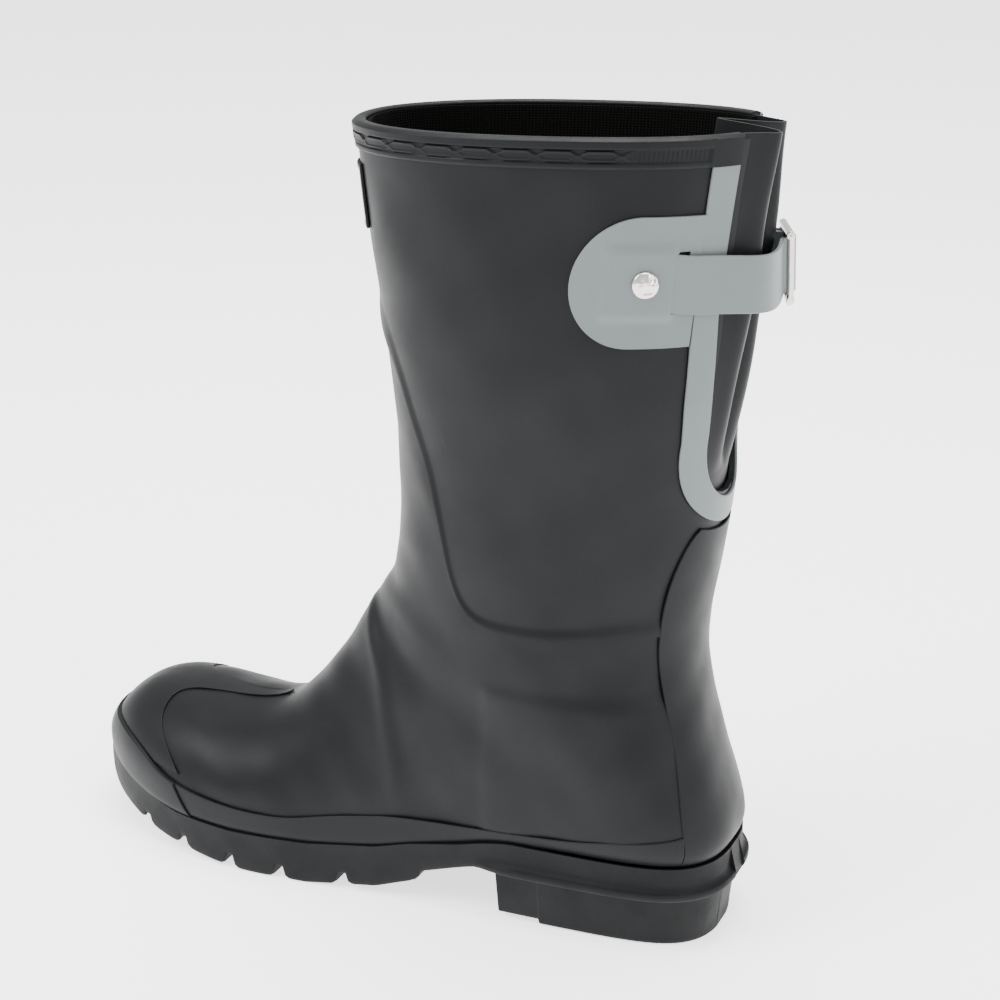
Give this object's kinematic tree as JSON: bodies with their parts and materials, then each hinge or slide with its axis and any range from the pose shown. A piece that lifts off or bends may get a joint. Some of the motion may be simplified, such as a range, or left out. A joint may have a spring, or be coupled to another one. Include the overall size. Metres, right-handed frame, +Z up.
{
  "type": "rubber rain boot",
  "caption": "Mid-calf black rubber rain boot with a grey-trimmed rear gusset, an adjusting strap with a metal slide buckle, a lugged sole and a block heel.",
  "frame": {"origin": "on the ground plane, under the middle of the boot's box", "axes": "+Z up, -Y towards the toe, +X towards the wearer's left"},
  "size_m": [0.0998, 0.2717, 0.2901],
  "materials": {
    "black_rubber": "matte natural rubber with a soft sheen",
    "tread_rubber": "matte moulded rubber",
    "grey_rubber": "satin blue-grey rubber",
    "nickel": "bright nickel plate",
    "knit": "dark ribbed knit",
    "board": "matte stiffener sheet",
    "spring_steel": "plain spring steel",
    "foam": "dark fabric over foam"
  },
  "bodies": {
    "boot": {"foot_panel": "black_rubber", "leg_panel": "black_rubber", "heel_counter": "black_rubber", "toe_cap": "black_rubber", "toe_rand": "black_rubber", "rand_left": "black_rubber", "rand_right": "black_rubber", "binding_band": "black_rubber", "front_patch": "black_rubber", "gusset": "black_rubber", "outsole": "tread_rubber", "heel_block": "tread_rubber", "gusset_trim": "grey_rubber", "strap_patch_left": "grey_rubber", "strap_patch_right": "grey_rubber", "strap": "grey_rubber", "anchor_loop": "grey_rubber", "rivet_left": "nickel", "rivet_right": "nickel", "loop_rivet": "nickel", "lining": "knit", "heel_stiffener": "board", "instep_reinforcement": "board", "toe_puff": "board", "insole_board": "board", "shank": "spring_steel", "rivet_washer_left": "spring_steel", "rivet_washer_right": "spring_steel", "sockliner": "foam"},
    "buckle": {"buckle": "nickel"}
  },
  "joints": [
    {"name": "buckle_tilt", "type": "hinge", "parent": "boot", "child": "buckle", "pos_m": [-0.03918, 0.12518, 0.23864], "axis": [-0.0162, -0.0421, 0.999], "range_deg": [0, 16], "deforming": ["strap"]}
  ]
}
